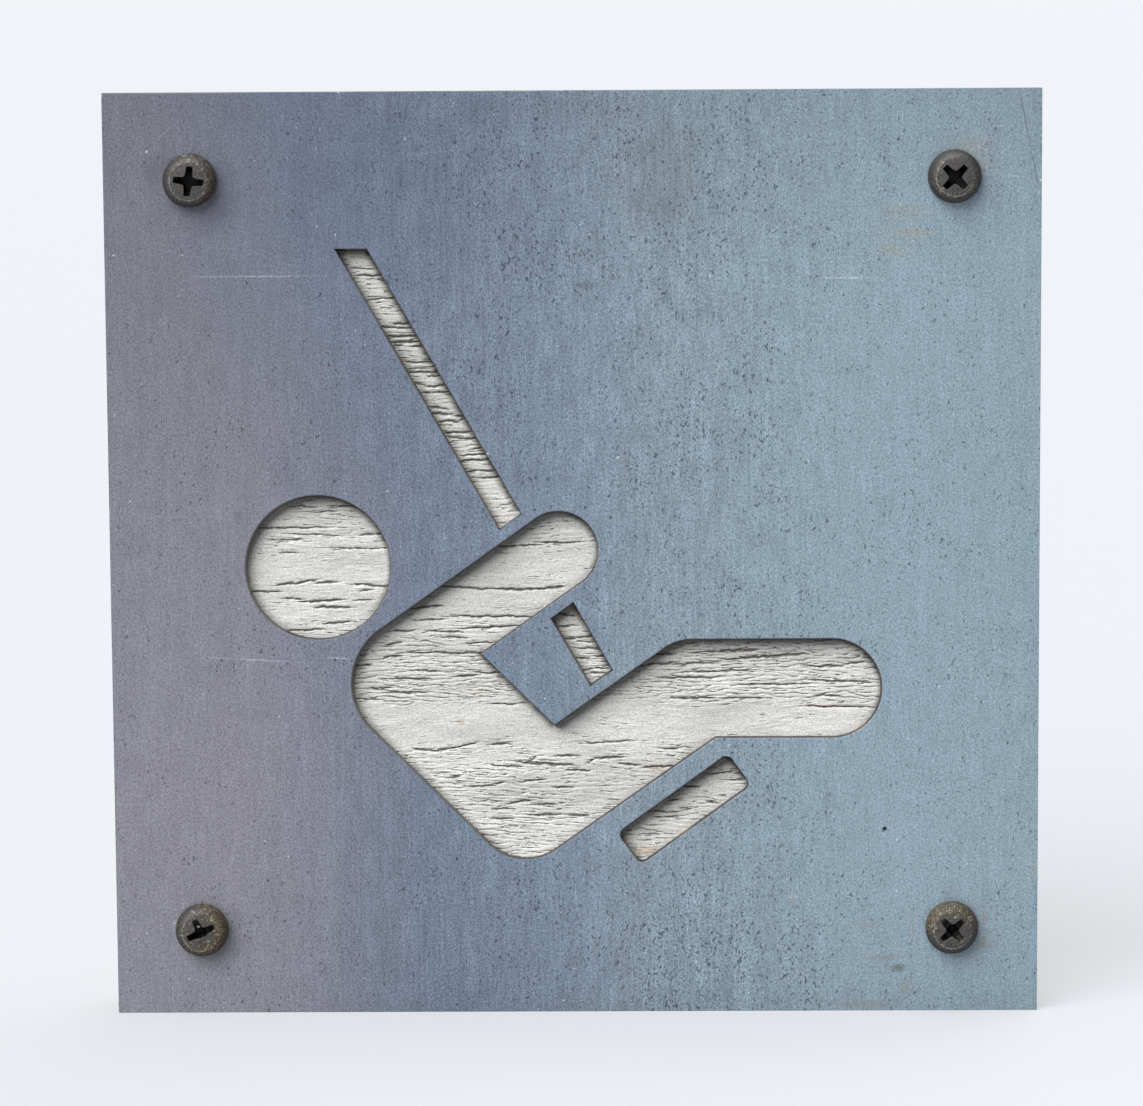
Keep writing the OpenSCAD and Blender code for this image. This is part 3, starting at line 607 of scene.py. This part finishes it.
# Stains, smears of grease and glue: middle and half sizes in mm, lean, raggedness, colour, strength
stains = [(x, z, wide, high, 0, 0.5, shade, strength) for x, z, wide, high, shade, strength in (
        (-27, 124, 26, 20, "#5c687c", 0.22), (14, 127, 10, 13, "#69726f", 0.28),
        (-3, 99, 5, 9, "#8494a4", 0.3),
        (2, 111, 2.4, 0.7, "#4d565e", 0.45), (14, 109, 1.2, 1.4, "#56616b", 0.3),
        (49.6, 122, 5.0, 1.2, "#9d9c90", 0.4), (51, 118.6, 4.2, 0.9, "#a79a88", 0.4),
        (47.8, 116.1, 3.2, 1.2, "#9fa092", 0.4), (49, 119, 6, 5, "#97a29f", 0.25),
        (46.8, 8.2, 3.4, 0.6, "#8c877c", 0.5), (48.9, 6.6, 1.7, 0.9, "#5f5c4c", 0.6),
        (50, 3.6, 1.5, 2.2, "#868a7c", 0.35), (44.2, 13.4, 2.6, 0.6, "#9b968a", 0.35),
        (51, 12.6, 0.5, 5, "#94917f", 0.3), (44, 1.0, 6, 0.8, "#8d8574", 0.4),
        (32.7, 17.7, 0.5, 0.5, "#c2ab9c", 0.5), (69.2, 21.6, 0.9, 1.0, "#9c9488", 0.4),
        (36.8, 1.9, 1.5, 0.8, "#8f8474", 0.4), (62.1, 14.2, 0.5, 0.6, "#b4554a", 0.5),
        (61.8, 10.5, 1.6, 1.6, "#8b867e", 0.4), (-54.8, 125, 7, 7, "#50505a", 0.4),
        (-61, 128, 4, 4, "#5c5c64", 0.35), (-55, 12, 6.5, 6.5, "#5a5960", 0.35),
        (59, 129.4, 5.4, 5.4, "#9c9888", 0.35), (58.5, 12.5, 6.5, 6.5, "#84847c", 0.35),
        (-40.8, 21.8, 0.3, 0.3, "#33363f", 0.8), (-50.5, 76.4, 1.1, 1.1, "#5d5f68", 0.35))]
# Scratches, half a hair wide: most are bright, but the upright ones at the right edge are dark
scratches = [(x, z, half, 0.13, lean, 0.7, shade, strength) for x, z, half, lean, shade, strength in (
        (-48, 112.6, 13.5, 0, "#c3c8d0", 0.45), (41, 111.9, 6, 0, "#cfdae2", 0.6),
        (-48.4, 54.5, 10.5, -0.057, "#bcc0ca", 0.6), (-35.6, 54.7, 2.8, -0.06, "#bcc0ca", 0.6),
        (-46, 18, 3.8, -1.19, "#666876", 0.35), (-47.2, 12, 2.6, -1.4, "#666876", 0.3),
        (67.4, 135.8, 5.6, 1.77, "#4f5d6b", 0.75), (69.0, 128.0, 4.4, 1.79, "#56636f", 0.65),
        (49, 21.5, 1.6, 0.9, "#b9ccd8", 0.4), (-20, 131, 7, 0.1, "#9fb0bf", 0.25))]
for *place_and_form, shade, strength in stains + scratches:
    mark = add(tree, "Math", {0: patch(tree, place, *place_and_form), 1: strength}, operation="MULTIPLY")
    mark = add(tree, "Math", {0: mark, 1: broken}, operation="MULTIPLY")
    toned = mixed(tree, mark, toned, shade)

# The streaks are plainest in a broad band down the middle of the sheet, and low down right of it
off_band = add(tree, "Math", {
    0: add(tree, "Math", {0: at_x, 1: 2 * mm}, operation="ADD")}, operation="ABSOLUTE")
low = patch(tree, place, 20, 6, 20, 24, 0, 0.2)
low = add(tree, "Math", {0: low, 1: 0.2, 2: 1.0}, operation="MULTIPLY_ADD")
shade = 1.0
for noises, in_band, beyond in (
        (((streaks, 0.25), (rolled, 0.1), (mottle, 0.13)), 1.0, 0.5),
        (((fleck, 0.44), (grain, 0.44)), 1.08, 0.85)):
    part = low
    for noise, swing in noises:
        part = add(tree, "Math", {0: part, 1: add(tree, "MapRange", {
            "Value": noise, "From Min": 0.2, "From Max": 0.8, "To Min": 1 - swing, "To Max": 1 + swing})},
            operation="MULTIPLY")
    part = add(tree, "Math", {0: part, 1: low}, operation="SUBTRACT")
    part = add(tree, "Math", {0: part, 1: add(tree, "MapRange", {
        "Value": off_band, "From Min": 20 * mm, "From Max": 44 * mm, "To Min": in_band, "To Max": beyond}),
        2: 1.0}, operation="MULTIPLY_ADD")
    shade = add(tree, "Math", {0: shade, 1: part}, operation="MULTIPLY")
toned = add(tree, "VectorMath", {0: toned, "Scale": shade}, operation="SCALE")
# Specks of mill scale, in drifts that lie mostly a little right of the middle. Their noise is cut at
# a slant, so that its own grid does not show in them.
pitting = add(tree, "TexNoise", {"Vector": add(tree, "Mapping", {
    "Vector": place, "Rotation": (0.6, 0.5, 0.4), "Scale": (1 / (0.42 * mm), 1, 1 / (0.62 * mm))}),
    "Scale": 1.0, "Detail": 1.0})
drift = add(tree, "TexNoise", {"Vector": add(tree, "Mapping", {
    "Vector": place, "Location": (-196 * mm, 0, 172 * mm), "Scale": (9 * mm, 9 * mm, 9 * mm)},
    vector_type="TEXTURE"), "Scale": 1.0, "Detail": 3.0})
pitting = add(tree, "Math", {0: drift, 1: 0.24, 2: pitting}, operation="MULTIPLY_ADD")
pitting = add(tree, "Math", {0: low, 1: 0.1, 2: pitting}, operation="MULTIPLY_ADD")
off_drifts = add(tree, "Math", {
    0: add(tree, "Math", {0: at_x, 1: 8 * mm}, operation="SUBTRACT")}, operation="ABSOLUTE")
pitting = add(tree, "Math", {0: pitting, 1: add(tree, "MapRange", {
    "Value": off_drifts, "From Min": 16 * mm, "From Max": 40 * mm, "To Max": 0.04},
    interpolation_type="SMOOTHSTEP")}, operation="SUBTRACT")
speck = add(tree, "MapRange", {"Value": pitting, "From Min": 0.848, "From Max": 0.948, "To Max": 0.68})
toned = mixed(tree, speck, toned, "#2c333c")
# White dots, and one small pit at the lower right, which is not cut but painted near black: painted shade of
# its hollow
dot = add(tree, "TexNoise", {"Vector": place, "Scale": 1 / (0.7 * mm), "Detail": 0.0})
dot = add(tree, "MapRange", {"Value": dot, "From Min": 0.84, "From Max": 0.91, "To Max": 0.7})
toned = mixed(tree, dot, toned, "#dfe6ec")
pit_shade = add(tree, "Mapping", {"Vector": place, "Location": (46.8 * mm, 0, 28.2 * mm)}, vector_type="TEXTURE")
pit_shade = add(tree, "MapRange", {"Value": add(tree, "VectorMath", {0: add(tree, "VectorMath", {
    0: pit_shade, 1: (1, 0, 1)}, operation="MULTIPLY")}, out="Value", operation="LENGTH"),
    "From Min": 0.38 * mm, "From Max": 0.24 * mm, "To Max": 0.97})
toned = mixed(tree, pit_shade, toned, "#0b0d10")
# The cut walls are burnt brown, and painted paler where they face right: dust, and painted light on walls
# that the key light leaves in shade
burnt = add(tree, "ValToRGB", {"Fac": mottle}, stops=((0.4, "#454343"), (0.58, "#5c5855"), (0.68, "#7c6a5a")))
dust_and_light_right = add(tree, "MapRange", {
    "Value": add(tree, "SeparateXYZ", {0: add(tree, "NewGeometry", out="Normal")}, out="X"),
    "From Min": 0.3, "From Max": 1.0, "To Max": 0.7})
burnt = mixed(tree, dust_and_light_right, burnt, "#9a9792")
scorched = add(tree, "Attribute", {}, out="Fac", attribute_name="scorched")
toned = mixed(tree, scorched, toned, burnt)
gloss = add(tree, "MapRange", {
    "Value": mottle, "From Min": 0.3, "From Max": 0.7, "To Min": 0.46, "To Max": 0.56})
height = add(tree, "Math", {0: streaks, 1: fleck}, operation="ADD")
bump = add(tree, "Bump", {"Height": height, "Strength": 0.5, "Distance": 0.03 * mm})
tree.links.new(add(tree, "BsdfPrincipled", {
    "Base Color": toned, "Metallic": 0.55, "Roughness": gloss, "Normal": bump}), surface)
plate.data.materials.append(mill_steel)
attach(plate, "root")
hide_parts("face_plate")

# Face screws.
# Four cross-recessed pan head tapping screws of 4.2 mm, cold-headed from steel wire and phosphated
# almost black. Years of weather have put rust on their rims, and drivers have bruised the recesses.

head_r, head_h, crown_r, crown_rise, head_side = 4 * mm, 3 * mm, 2.85 * mm, 0.2 * mm, 0.8 * mm
thread_r, thread_h, thread_pitch, screw_l, point_l = 2.1 * mm, 0.6 * mm, 1.4 * mm, 9.5 * mm, 3 * mm
wing_w, wing_reach, recess_depth = 1.0 * mm, 2.25 * mm, 2.2 * mm
crown_edge = math.radians(22)
around = np.linspace(0, 2 * math.pi, 144, endpoint=False)[None, :]


def all_round(values):
    """The values of a profile, the same at every angle round a screw."""
    return np.repeat(values[:, None], around.size, 1)


def thread_radius(height, around, outer, ridge, pitch, length, point):
    """The radius of a tapping screw's shank: its core plus a ridge wherever height over pitch, less
    the angle in turns, has the right fraction, all drawn in towards the point."""
    fraction = (height / pitch - around / (2 * math.pi)) % 1
    rise = np.clip(-height / (pitch / 2), 0, 1)
    tooth = np.clip(1 - np.abs(fraction - 0.5) / 0.3, 0, 1)
    return np.clip((height + length) / point, 0, 1) * (outer - ridge + ridge * rise * tooth)


def turned(name, node, radius, depth, attributes=(), values=()):
    """A solid turned about its node's middle, from the radius and depth of each point of its profile
    at each angle, with the attributes' values there."""
    low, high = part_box(node)
    points = np.stack([
        (low.x + high.x) / 2 + radius * np.cos(around), depth,
        (low.z + high.z) / 2 + radius * np.sin(around)], -1)
    surface = (
        points.reshape(-1, 3), grid_faces(*radius.shape, closed=True), *[each.ravel() for each in values])
    return solid(name, [surface], attributes, math.radians(60))


def cross_recess(px, py, turn, wing, reach, depth, wings_left=(1, 1, 1, 1)):
    """The depth of a cross recess. The distance to the cross is that to its nearest wing or its hub,
    smoothed by minus k times the log of the sum of exp(-distance / k), which rounds the inner
    corners. The floor slopes from the wings' ends to the middle. Dirt may partly fill a wing, though
    not the hub."""
    k = 0.16 * mm
    away_all = np.exp(-(np.hypot(px, py) - 0.62 * wing) / k)
    filled = np.ones_like(px)
    for quarter, left in enumerate(wings_left):
        a = turn + quarter * math.pi / 2
        along = px * math.cos(a) + py * math.sin(a)
        aside = np.abs(py * math.cos(a) - px * math.sin(a))
        away = np.maximum(np.maximum(aside - wing / 2 * (1.1 - 0.25 * along / reach), along - reach), -along)
        away_all = away_all + np.exp(-away / k)
        filled = np.where(along > aside, 1 - (1 - left) * smooth(0.3 * wing, 0.8 * wing, along), filled)
    inside = smooth(0.05 * mm, -0.1 * mm, -k * np.log(away_all))
    floor = np.clip((reach - np.hypot(px, py)) * 1.9 + 0.25 * mm, 0, depth)
    return inside * floor * filled


def face_screw(name, node, turn, wings_left, rust_towards, rusting, highlights_and_rubbed_spots, seed):
    """A pan head with its recess, then the shank. The head is a profile of radius and height turned
    round, less the recess and a scatter of small dents: a low crown, an edge where the die left off,
    and a shoulder that is the rest of a quarter ellipse. Its attributes are how bright the metal is,
    worn and with painted highlights, at the crown's edge and the given spots; how dark where
    negative, darker out over the shoulder and with painted shade and dirt in the recess; and how
    rusty."""
    random = np.random.default_rng(seed)
    crown = np.linspace(0, crown_r, 56)
    shoulder = np.linspace(crown_edge, math.pi / 2, 12)[1:]
    outward = (np.sin(shoulder) - math.sin(crown_edge)) / (1 - math.sin(crown_edge))
    down = np.cos(shoulder) / math.cos(crown_edge)
    profile_r = np.concatenate([
        crown, crown_r + (head_r - crown_r) * outward, [head_r, head_r - 0.08 * mm, 3 * mm, 1.9 * mm]])
    profile_h = np.concatenate([
        head_h - crown_rise * (crown / crown_r) ** 2,
        head_side + (head_h - crown_rise - head_side) * down, [0.08 * mm, 0, 0, 0]])
    head_radius, head_height = all_round(profile_r), all_round(profile_h)
    px, py = head_radius * np.cos(around), head_radius * np.sin(around)
    top = (np.arange(len(profile_r)) < len(crown) + len(shoulder) - 1)[:, None]
    sunk = top * cross_recess(px, py, turn, wing_w, wing_reach, recess_depth, wings_left)
    dents = np.zeros_like(px)
    for _ in range(70):
        reach, angle = head_r * math.sqrt(random.uniform(0, 1)), random.uniform(0, 2 * math.pi)
        size, deep = random.uniform(0.12, 0.5) * mm, random.uniform(0.01, 0.06) * mm
        away = np.hypot(px - reach * math.cos(angle), py - reach * math.sin(angle))
        dents = np.maximum(dents, deep * smooth(size, 0, away))
    uneven = waves(px / mm, py / mm, 10, 1.1, 1.1, seed)
    # The crown's edge is bright: worn metal and a painted highlight
    worn = smooth(0.16 * mm, 0.04 * mm, np.abs(head_radius - crown_r - 0.03 * mm * uneven))
    worn = 0.7 * worn * smooth(-0.9, 0.9, np.cos(around - math.radians(235)) + 0.5 * uneven)
    # The given spots are bright: painted highlights and glints, and rubbed metal
    for spot_x, spot_y, size, amount in highlights_and_rubbed_spots:
        away = np.hypot(px / mm - spot_x, (py / mm - spot_y) * 1.6) + 0.12 * uneven
        worn = np.maximum(worn, amount * smooth(size, 0.5 * size, away))
    # Darker out over the shoulder, and near black in the recess: painted shade with dirt
    worn = worn - 0.35 * smooth(crown_r, head_r, head_radius) - 1.4 * smooth(0, 0.5 * mm, sunk)
    side = 0.5 + 0.5 * np.cos(around - math.radians(rust_towards))
    rusty = rusting * side * smooth(0.5 * crown_r, head_r, head_radius) + 0.18 * uneven * rusting
    shank_h = all_round(-np.linspace(0, screw_l, 120))
    shank_r = thread_radius(shank_h, around, thread_r, thread_h, thread_pitch, screw_l, point_l)
    radius = np.concatenate([head_radius, shank_r])
    height = np.concatenate([head_height - top * dents - sunk, shank_h])
    values = np.zeros((2, *radius.shape))
    values[:, :len(profile_r)] = worn, rusty
    screw = turned(name, node, radius, plate_front - height, ["worn", "rusty"], values)
    screw.data.materials.append(screw_steel)
    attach(screw, "root")
    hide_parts(node)


# Phosphated steel, aged: a dull grey-black coat that has gone olive at the foot, brown rust where it
# is lost, bare bright metal where a driver has rubbed the edge, painted highlights at the crown's
# edge and on given spots, and near black in the recess: dirt and painted shade.
screw_steel, tree, surface = new_material("aged_phosphated_steel")
place = add(tree, "TexCoord", out="Object")
stain = add(tree, "TexNoise", {"Vector": place, "Scale": 1 / (1.1 * mm), "Detail": 5.0, "Roughness": 0.65})
grit = add(tree, "TexNoise", {"Vector": place, "Scale": 1 / (0.24 * mm), "Detail": 3.0, "Roughness": 0.75})
coat = add(tree, "ValToRGB", {"Fac": grit}, stops=((0.3, "#363533"), (0.5, "#4e4c4b"), (0.7, "#6d6a66")))
rust = add(tree, "ValToRGB", {"Fac": grit}, stops=(
    (0.3, "#14110e"), (0.46, "#40372b"), (0.57, "#73654c"), (0.7, "#d4c7a7")))
rusty = add(tree, "Attribute", {}, out="Fac", attribute_name="rusty")
rusty = add(tree, "Math", {0: stain, 1: 1.4, 2: rusty}, operation="MULTIPLY_ADD")
rusty = add(tree, "MapRange", {"Value": rusty, "From Min": 0.85, "From Max": 1.25, "To Max": 0.9})
colour = mixed(tree, rusty, coat, rust)
worn = add(tree, "Attribute", {}, out="Fac", attribute_name="worn")
# Bright metal: rubbed bare, and painted highlights
scraped_and_highlit = add(tree, "Math", {0: worn, 1: add(tree, "MapRange", {
    "Value": grit, "From Min": 0.35, "From Max": 0.6})}, operation="MULTIPLY")
rubbed_and_highlit = add(tree, "MapRange", {"Value": scraped_and_highlit, "From Min": 0.05, "From Max": 0.8, "To Max": 0.8})
colour = mixed(tree, rubbed_and_highlit, colour, "#aeb0aa")
# Dark where worn is negative: darker out over the shoulder, and painted shade with dirt in the recess
shade_and_grime = add(tree, "MapRange", {"Value": worn, "From Min": 0.0, "From Max": -1.0})
dirt_and_shade = add(tree, "ValToRGB", {"Fac": stain}, stops=((0.4, "#0a0909"), (0.6, "#12100e")))
dirt_and_shade = mixed(tree, rusty, dirt_and_shade, "#2b231a")
colour = mixed(tree, shade_and_grime, colour, dirt_and_shade)
metal = add(tree, "MapRange", {"Value": rusty, "To Min": 0.6, "To Max": 0.1})
gloss = add(tree, "MapRange", {"Value": rubbed_and_highlit, "To Min": 0.6, "To Max": 0.36})
bump = add(tree, "Bump", {"Height": grit, "Strength": 0.6, "Distance": 0.05 * mm})
tree.links.new(add(tree, "BsdfPrincipled", {
    "Base Color": colour, "Metallic": metal, "Roughness": gloss, "Normal": bump}), surface)

# Each screw's turn, what dirt has left open of its four wings, the side where it rusts and how much,
# and its bright spots, painted highlights and rubbed metal: x and z in mm from the middle, size in mm and
# brightness
face_screw("pan_screw_top_left", "screw_top_left", math.radians(83), (1, 1, 1, 1), -5, 0.5, (
    (-0.9, 3.75, 0.25, 0.9), (-0.3, 3.85, 0.25, 0.9), (0.5, 3.8, 0.25, 0.9), (0.1, 3.2, 0.2, 0.9),
    (-0.4, 3.1, 0.2, 0.8), (1.4, 2.6, 0.3, 0.9), (1.8, 2.55, 0.25, 0.8)), 1)
face_screw("pan_screw_top_right", "screw_top_right", math.radians(45), (1, 1, 1, 0.8), -95, 0.35, (
    (-2.0, 2.3, 0.25, 0.9), (-1.7, -1.6, 0.3, 0.7)), 2)
face_screw("pan_screw_bottom_left", "screw_bottom_left", math.radians(25), (0.6, 0.35, 1, 0.04), -35, 1.6, (
    (-0.45, 0.85, 0.35, 2.2), (1.6, 1.9, 0.3, 0.8), (-3.0, -0.4, 0.4, 0.8), (-1.2, 3.2, 0.3, 0.7),
    (1.0, -1.2, 0.5, 0.6)), 3)
face_screw("pan_screw_bottom_right", "screw_bottom_right", math.radians(43), (0.4, 0.35, 0.5, 0.4), 110,
    0.7, ((0.6, 2.1, 0.35, 0.8), (-1.6, -2.3, 0.3, 0.6), (-3.4, 0.6, 0.3, 0.7), (2.9, 1.6, 0.25, 0.7)), 4)

# Keyhole hanger.
# A stamped plate of 1.5 mm zinc-plated steel, let in flush at the back. A wall screw's head goes in
# through the round entry, and the sign drops onto the shank along the slot.

hanger_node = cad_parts["keyhole_hanger"]
hanger_low, hanger_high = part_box("keyhole_hanger")
inner, outer = hanger_low.y, hanger_high.y
outline, *openings = [rounded(rim) for rim in outlines(hanger_node, outer)]
keyhole, *sunk_rims = openings
csk = np.ptp(sunk_rims[0], 0)[0] / 2 - np.ptp(outlines(hanger_node, inner)[-1], 0)[0] / 2
stamped = 0.3 * mm
stamped_profile = [
    (0.6 * mm, outer), (stamped, outer), (0.3 * stamped, outer - 0.3 * stamped),
    (0, outer - stamped), (0, inner + 0.1 * mm), (0.1 * mm, inner), (0.3 * mm, inner)]
keyhole_profile = [
    (0.4 * mm, outer), (0.15 * mm, outer), (0.04 * mm, outer - 0.04 * mm), (0, outer - 0.15 * mm),
    (0, inner + 0.1 * mm), (0.1 * mm, inner), (0.3 * mm, inner)]
sunk_profile = [
    (0.2 * mm, outer), (0.05 * mm, outer), (-0.02 * mm, outer - 0.07 * mm),
    (-csk, outer - csk - 0.05 * mm), (-csk, inner), (-csk + 0.1 * mm, inner)]
edges = [(outline, stamped_profile), (keyhole, keyhole_profile)]
edges += [(rim, sunk_profile) for rim in sunk_rims]
surfaces = [edge_surface(*edge) for edge in edges]
for end, depth in ((0, outer), (-1, inner)):
    surfaces.append(flat_surface([carried(rim, profile)[end][:, ::2] for rim, profile in edges], depth))
hanger = solid("zinc_keyhole_hanger", surfaces, [])

# Zinc-plated steel: thin bright zinc, blue-white and soft, which has dulled in cloudy patches, and is
# darker the deeper a face lies below the hanger's outer face, the screws' recesses too.
zinc, tree, surface = new_material("zinc_plated_steel")
place = add(tree, "TexCoord", out="Object")
cloud = add(tree, "TexNoise", {"Vector": place, "Scale": 1 / (2.5 * mm), "Detail": 5.0, "Roughness": 0.6})
scuff = add(tree, "TexNoise", {"Vector": add(tree, "Mapping", {
    "Vector": place, "Rotation": (0, 0.5, 0), "Scale": (1 / (3 * mm), 1 / mm, 1 / (0.12 * mm))}),
    "Scale": 1.0, "Detail": 2.0})
colour = add(tree, "ValToRGB", {"Fac": cloud}, stops=((0.3, "#9a9c9f"), (0.5, "#b4b8bc"), (0.7, "#c6cacd")))
sunk = add(tree, "MapRange", {
    "Value": add(tree, "SeparateXYZ", {0: place}, out="Y"), "From Min": outer - 0.1 * mm,
    "From Max": outer - 1.1 * mm, "To Max": 0.85})
colour = mixed(tree, sunk, colour, "#33312e")
gloss = add(tree, "MapRange", {
    "Value": cloud, "From Min": 0.3, "From Max": 0.7, "To Min": 0.5, "To Max": 0.28})
bump = add(tree, "Bump", {"Height": scuff, "Strength": 0.3, "Distance": 0.02 * mm})
tree.links.new(add(tree, "BsdfPrincipled", {
    "Base Color": colour, "Metallic": 1.0, "Roughness": gloss, "Normal": bump}), surface)
hanger.data.materials.append(zinc)
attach(hanger, "root")
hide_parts("keyhole_hanger")

# Hanger screws.
# Two small countersunk screws of 2.9 mm, zinc-plated like the hanger, with their heads flush in it.

csk_r, csk_thread_r, csk_pitch, csk_l, cone_h = 2.46 * mm, 1.45 * mm, 1.1 * mm, 6.5 * mm, 1.05 * mm
csk_thread_h, csk_point_l = 0.4 * mm, 2 * mm
csk_wing_w, csk_wing_reach, csk_recess_depth = 0.65 * mm, 1.4 * mm, 1.2 * mm


def countersunk_screw(name, node, turn):
    """A flat head with its cross recess, the cone under it and the shank, as one profile turned
    round."""
    face_r = np.linspace(0, csk_r, 40)
    profile_r = np.concatenate([face_r, [csk_r + 0.04 * mm, csk_r + 0.02 * mm, csk_thread_r]])
    profile_h = np.concatenate([0 * face_r, [-0.04 * mm, -0.12 * mm, -cone_h]])
    head_radius, head_height = all_round(profile_r), all_round(profile_h)
    px, py = head_radius * np.cos(around), head_radius * np.sin(around)
    face = (np.arange(len(profile_r)) < len(face_r))[:, None]
    head_height = head_height - face * cross_recess(
        px, py, turn, csk_wing_w, csk_wing_reach, csk_recess_depth)
    shank_h = all_round(-np.linspace(cone_h, csk_l, 90))
    shank_r = thread_radius(
        shank_h + cone_h, around, csk_thread_r, csk_thread_h, csk_pitch, csk_l - cone_h, csk_point_l)
    radius = np.concatenate([head_radius, shank_r])
    height = np.concatenate([head_height, shank_h])
    screw = turned(name, node, radius, outer + height)
    screw.data.materials.append(zinc)
    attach(screw, "root")
    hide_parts(node)


countersunk_screw("csk_screw_upper", "hanger_screw_upper", math.radians(20))
countersunk_screw("csk_screw_lower", "hanger_screw_lower", math.radians(65))

# Floor, light and camera.
# A plain pale floor that curves up far off, one large soft light from the upper left as in the
# photograph, and even pale light all round.

bend = np.radians(np.linspace(0, 80, 16))
floor_r = np.concatenate([np.linspace(0, 6, 7), 6 + 1.5 * np.sin(bend)[1:]])
floor_z = np.concatenate([np.zeros(7), 1.5 - 1.5 * np.cos(bend)[1:]])
turns = np.linspace(0, 2 * math.pi, 96, endpoint=False)
points = np.stack([
    np.outer(floor_r, np.cos(turns)), np.outer(floor_r, np.sin(turns)),
    np.repeat(floor_z[:, None], len(turns), 1)], -1)
mesh = bpy.data.meshes.new("studio_sweep")
mesh.from_pydata(points.reshape(-1, 3), [], grid_faces(*points.shape[:2], closed=True).tolist())
mesh.shade_smooth()
sweep = bpy.data.objects.new("studio_sweep", mesh)
bpy.context.scene.collection.objects.link(sweep)
paper, tree, surface = new_material("pale_paper")
# A little light of the paper's own keeps its shadows as faint as in a bright room
tree.links.new(add(tree, "BsdfPrincipled", {
    "Base Color": linear("#7c7d80"), "Roughness": 0.9, "Emission Color": linear("#f2f5f9"),
    "Emission Strength": 0.49}), surface)
mesh.materials.append(paper)
# No light bounces off the paper onto the sign, so the shadows in the cutouts stay deep
sweep.visible_diffuse = False


def soft_light(name, towards, spread, strength, colour):
    """An even light from one direction, as soft as a source that spans the given angle."""
    lamp = bpy.data.lights.new(name, "SUN")
    lamp.angle, lamp.energy = math.radians(spread), strength
    lamp.color = linear(colour)[:3]
    holder = bpy.data.objects.new(name, lamp)
    holder.rotation_mode = "QUATERNION"
    holder.rotation_quaternion = Vector(towards).to_track_quat("Z", "Y")
    bpy.context.scene.collection.objects.link(holder)


soft_light("key", (-0.42, -0.60, 0.68), 52, 4.25, "#ffffff")
soft_light("overhead", (0.05, 0.1, 1.0), 40, 2.4, "#ffffff")
soft_light("back_fill", (0.5, 0.75, 0.55), 60, 0.9, "#f4f8ff")
world = bpy.data.worlds.new("studio")
world.use_nodes = True
world.node_tree.nodes["Background"].inputs["Color"].default_value = linear("#eef2f6")
world.node_tree.nodes["Background"].inputs["Strength"].default_value = 0.12
bpy.context.scene.world = world
bpy.context.scene.view_settings.view_transform = "Standard"

eye = Vector((11.0, -759.2, 176.2)) * mm
aim = Vector((-0.4, -4.0, 70.6)) * mm
roll = math.radians(-0.38)
lens = bpy.data.cameras.new("camera")
lens.sensor_width, lens.lens = 36, 159.5
lens.clip_start, lens.clip_end = 0.01, 20
camera = bpy.data.objects.new("camera", lens)
camera.location = eye
camera.rotation_mode = "QUATERNION"
camera.rotation_quaternion = (aim - eye).to_track_quat("-Z", "Y") @ Quaternion((0, 0, 1), roll)
bpy.context.scene.collection.objects.link(camera)
bpy.context.scene.camera = camera
